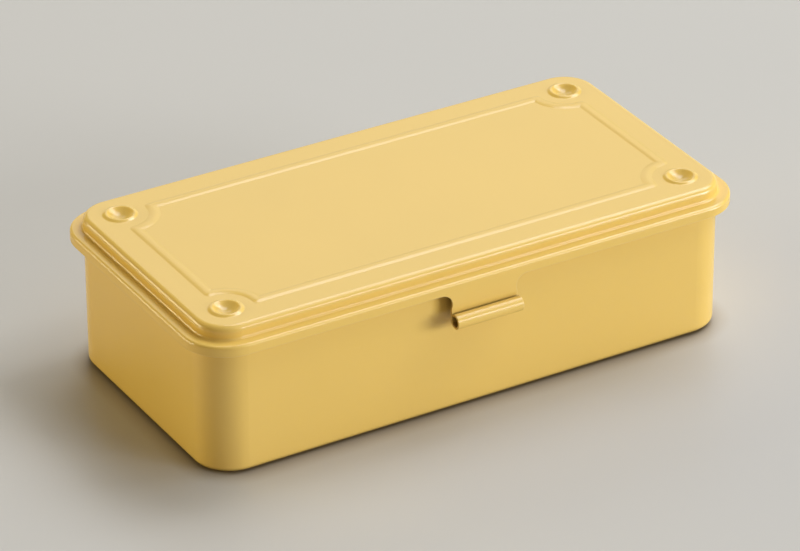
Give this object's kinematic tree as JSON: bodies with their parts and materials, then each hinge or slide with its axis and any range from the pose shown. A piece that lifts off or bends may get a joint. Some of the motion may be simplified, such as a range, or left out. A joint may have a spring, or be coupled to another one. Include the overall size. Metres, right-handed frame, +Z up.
{
  "type": "steel storage box",
  "caption": "Drawn-steel storage box with rounded corners and a hinged lid, which has a beaded top, stacking dimples and a rolled latch tongue at the front.",
  "frame": {"origin": "middle of the tray's flat underside", "axes": "+X along the box to the right of someone facing its latch, +Y from the latch to the hinges, +Z up"},
  "size_m": [0.203, 0.1088, 0.0545],
  "materials": {
    "yellow_enamel": "semi-gloss baked enamel, pale yellow",
    "plated_steel": "drawn wire, zinc plated"
  },
  "bodies": {
    "tray_body": {"tray": "yellow_enamel", "hinge_leaf_left": "yellow_enamel", "hinge_leaf_right": "yellow_enamel", "hinge_pin_left": "plated_steel", "hinge_pin_right": "plated_steel"},
    "lid_body": {"lid": "yellow_enamel"}
  },
  "joints": [
    {"name": "lid_hinge", "type": "hinge", "parent": "tray_body", "child": "lid_body", "pos_m": [0, 0.0503, 0.04255], "axis": [-1, 0, 0], "range_deg": [0, 105]}
  ]
}
